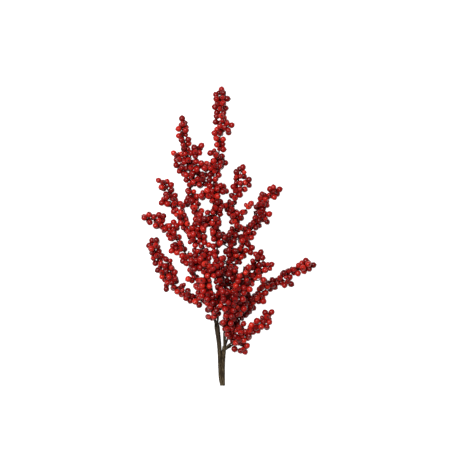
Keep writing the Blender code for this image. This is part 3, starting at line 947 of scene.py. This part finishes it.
def placeHips(name, hips, model, rng):
    copies = []
    for number, hip in enumerate(hips):
        mesh = model.data.copy()
        narrow = rng.uniform(*hipShape["narrow"])
        turn = hip.out.to_track_quat("Z", "Y").to_matrix().to_4x4()
        spin = Matrix.Rotation(rng.uniform(0, 2 * math.pi), 4, "Z")
        middle = toScene(hip.middle)
        room = [solidsBox[1][i] - middle[i] for i in range(3)]
        room += [middle[i] - solidsBox[0][i] for i in range(2)]
        size = min(hip.radius * hipShape["plump"] * millimetre, min(room) / hipShape["reach"])
        shape = Matrix.Diagonal((size * narrow, size * narrow, size, 1.0))
        mesh.transform(Matrix.Translation(middle) @ turn @ spin @ shape)
        ripeness = min(1.0, max(0.0, rng.gauss(*hipLook["ripeness"])))
        mesh.attributes["ripeness"].data.foreach_set("value", [ripeness] * len(mesh.vertices))
        copy = bpy.data.objects.new(f"hip{number}", mesh)
        bpy.context.scene.collection.objects.link(copy)
        copies.append(copy)
    piece = joinPieces(copies, name + "_hips")
    keepOffSurface(piece)
    return piece


# The twigs of a spray

twigShape = {
    "root": 1.4,
    "tip": 0.95,
    "sideRoot": 1.0,
    "sideTip": 0.75,
    "stalk": (0.6, 0.5),  # of a hip, at the twig and at the hip
    "stalkFrom": 0.85,  # of the hip's radius, behind its middle
    "stalkSunk": 0.5,
    "stalkBow": 0.4,
    "stalkSlant": 1.6,  # how far nearer the foot a hip's stalk leaves the twig
    "knots": 0.16,  # how much thicker a twig is at its knots
    "sides": 6,
}


def stalkOf(hip, twigs):
    # The line of a hip's own short stalk, from the nearest twig
    place = hip.middle - hip.out * hip.radius * twigShape["stalkFrom"]
    best = None
    for twig in twigs:
        for before, point in zip(twig.path, twig.path[1:]):
            root = nearestBetween(before, point, place)
            gap = (root - place).length
            if best is None or gap < best[0]:
                best = (gap, root, (point - before).normalized())
    gap, root, direction = best
    root = root - direction * min(twigShape["stalkSlant"], 0.5 * gap)
    middle = (root + place) / 2 + hip.out * twigShape["stalkBow"]
    return [root, middle, place + hip.out * twigShape["stalkSunk"]]


def drawTwigs(name, twigs, hips, rng):
    shape = twigShape
    lines = []
    for number, twig in enumerate(twigs):
        thick, thin = (shape["sideRoot"], shape["sideTip"]) if number else (shape["root"], shape["tip"])
        count = len(twig.path)
        radii = []
        for i in range(count):
            knot = 1 + shape["knots"] * rng.random()
            radii.append((thick + (thin - thick) * i / (count - 1)) * knot)
        lines.append((twig.path, radii))
    for hip in hips:
        line = stalkOf(hip, twigs)
        thick, thin = shape["stalk"]
        lines.append((line, [thick, thin, thin]))
    return drawTubes(name + "_twigs", lines, shape["sides"])


# The stem

stemShape = {
    "seed": 5,
    "sides": 28,
    "ridges": 7,
    "ridgeDepth": 0.05,
    "swell": 0.05,
    "footEnd": -0.08,
    "twist": 0.02,  # from one point of its line to the next
    "footRadius": 1.5,  # of a shoot's bare foot at its end
    "footSides": 10,
    "smoothBelow": math.radians(50),
    "cutWithin": 0.6,  # of the end, where a face that looks back is a cut
    "cutFacing": -0.8,
    "cutInset": 0.0004,
    "cutDepth": 0.0003,
}


def drawStalk(name, points, rng):
    # A stalk swept along its line, with a ridged outline that turns slowly on the way
    bpy.ops.object.select_all(action="DESELECT")
    bpy.ops.curve.primitive_nurbs_circle_add(radius=1.0)
    outline = bpy.context.object
    spline = outline.data.splines
    spline.clear()
    ring = spline.new("POLY")
    ring.points.add(stemShape["sides"] - 1)
    ring.use_cyclic_u = True
    for number, point in enumerate(ring.points):
        angle = 2 * math.pi * number / stemShape["sides"]
        reach = 1 + stemShape["ridgeDepth"] * math.cos(stemShape["ridges"] * angle)
        reach += stemShape["ridgeDepth"] * 0.5 * rng.uniform(-1, 1)
        reach *= millimetre
        point.co = (reach * math.cos(angle), reach * math.sin(angle), 0, 1)
    bpy.ops.curve.primitive_nurbs_path_add()
    stalk = bpy.context.object
    stalk.name = name
    curve = stalk.data
    curve.splines.clear()
    curve.dimensions = "3D"
    curve.bevel_mode = "OBJECT"
    curve.bevel_object = outline
    curve.use_fill_caps = True
    path = curveThrough([point[:3] for point in points])
    line = curve.splines.new("POLY")
    line.points.add(len(path) - 1)
    for number, (point, place) in enumerate(zip(line.points, path)):
        after = next((i for i, p in enumerate(points) if p[1] > place.y), len(points) - 1)
        low, high = points[max(0, after - 1)], points[after]
        part = min(1.0, max(0.0, (place.y - low[1]) / (high[1] - low[1])))
        radius = low[3] + (high[3] - low[3]) * part
        point.co = (*toScene(place), 1)
        swell = stemShape["swell"] * rng.uniform(-0.5, 1) if number else stemShape["footEnd"]
        point.radius = radius * (1 + swell)
        point.tilt = stemShape["twist"] * number
    bpy.ops.object.convert(target="MESH")
    bpy.data.objects.remove(outline)
    return bpy.context.object


def buildStem(feet, bark, wood):
    rng = random.Random(stemShape["seed"])
    stem = drawStalk("stemBark", leftStalk, rng)
    others = [drawStalk("rightStalk", rightStalk, rng)]
    for number, foot in enumerate(feet):
        radii = [growth["bareRadius"]] * len(foot.path)
        radii[-1] = stemShape["footRadius"]
        others.append(drawTubes(f"foot{number}", [(foot.path, radii)], stemShape["footSides"]))
    for other in others:
        union = stem.modifiers.new("grownTogether", "BOOLEAN")
        union.operation = "UNION"
        union.object = other
        union.solver = "EXACT"
        bpy.context.view_layer.objects.active = stem
        bpy.ops.object.modifier_apply(modifier=union.name)
        bpy.data.objects.remove(other)
    keepOffSurface(stem)
    stem.data.materials.clear()
    stem.data.materials.append(bark)
    stem.data.materials.append(wood)
    bpy.ops.object.select_all(action="DESELECT")
    stem.select_set(True)
    bpy.context.view_layer.objects.active = stem
    bpy.ops.object.mode_set(mode="EDIT")
    cutPlace = toScene(Vector((0, stemShape["cutWithin"], 0))).y
    pickFaces(lambda middle, normal: middle.y < cutPlace and normal.y < stemShape["cutFacing"])
    stem.active_material_index = 1
    bpy.ops.object.material_slot_assign()
    bpy.ops.mesh.inset(thickness=stemShape["cutInset"], depth=-stemShape["cutDepth"])
    bpy.ops.object.mode_set(mode="OBJECT")
    bpy.ops.object.shade_smooth_by_angle(angle=stemShape["smoothBelow"])
    return stem


# Stage: a pale floor, soft light from above, and a camera that looks straight down

stage = {
    "floor": (0.22, 0.22, 0.22),
    "floorSize": 8.0,
    "floorDrop": 0.0002,
    "floorGlow": 4.7,  # so that the floor is white, as in a studio with lit paper
    "floorRoughness": 0.9,
    "frameWidth": 0.7436,  # of the picture, at the height of the twigs
    "aim": (-0.0051, 0.0174, 0.035),
    "lens": 135.0,
    "sensor": 36.0,
    "keyPower": 258.0,
    "keySize": 2.2,
    "keyHeight": 3.2,
    "keyOffset": (-1.05, 1.0),
    "sky": 0.35,
}


def setStage():
    bpy.ops.mesh.primitive_plane_add(size=stage["floorSize"], location=(0, 0, -stage["floorDrop"]))
    floor = bpy.context.object
    floor.name = "floor"
    paint = Paint("paleFloor")
    colour = (*stage["floor"], 1.0)
    floor.data.materials.append(paint.finish(
        Base_Color=colour, Roughness=stage["floorRoughness"],
        Emission_Color=colour, Emission_Strength=stage["floorGlow"]))
    world = bpy.data.worlds.new("studio")
    world.use_nodes = True
    sky = world.node_tree.nodes["Background"]
    sky.inputs["Strength"].default_value = stage["sky"]
    sky.inputs["Color"].default_value = (1, 1, 1, 1)
    bpy.context.scene.world = world
    x, y, z = stage["aim"]
    aside, ahead = stage["keyOffset"]
    bpy.ops.object.light_add(type="AREA", location=(x + aside, y + ahead, stage["keyHeight"]))
    key = bpy.context.object
    key.name = "softbox"
    key.data.size = stage["keySize"]
    key.data.energy = stage["keyPower"]
    aim = Vector((-aside, -ahead, -stage["keyHeight"]))
    key.rotation_euler = aim.to_track_quat("-Z", "Y").to_euler()
    distance = stage["frameWidth"] * stage["lens"] / stage["sensor"]
    bpy.ops.object.camera_add(location=(x, y, z + distance), rotation=(0, 0, 0))
    camera = bpy.context.object
    camera.data.lens = stage["lens"]
    camera.data.sensor_width = stage["sensor"]
    bpy.context.scene.camera = camera
    bpy.context.scene.view_settings.view_transform = "Standard"


def main():
    stalks = layStalks()
    feet, sprays = layTwigs()
    hips = growHips(sprays, stalks + feet)
    print("hips of the solids:", sum(len(placed) for placed in hips.values()))
    crowdHips(sprays, hips, stalks + feet)
    print("hips in all:", sum(len(placed) for placed in hips.values()))
    stem = buildStem(feet, stemBark(), plainWood(cutLook))
    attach(stem, "root")
    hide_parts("stem")
    print("stem:", len(stem.data.polygons), "faces")
    rng = random.Random(hipShape["seed"])
    model = modelHip(hipSkin())
    twigBark = plainWood(twigLook)
    print("hip model:", len(model.data.polygons), "faces")
    for name, twigs in sprays.items():
        fruit = placeHips(name, hips[name], model, rng)
        branches = drawTwigs(name, twigs, hips[name], rng)
        branches.data.materials.append(twigBark)
        for piece in (fruit, branches):
            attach(piece, "root")
            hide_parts(name)
        print(name, len(hips[name]), "hips,", len(fruit.data.polygons), "faces")
    bpy.data.objects.remove(model)
    setStage()


main()
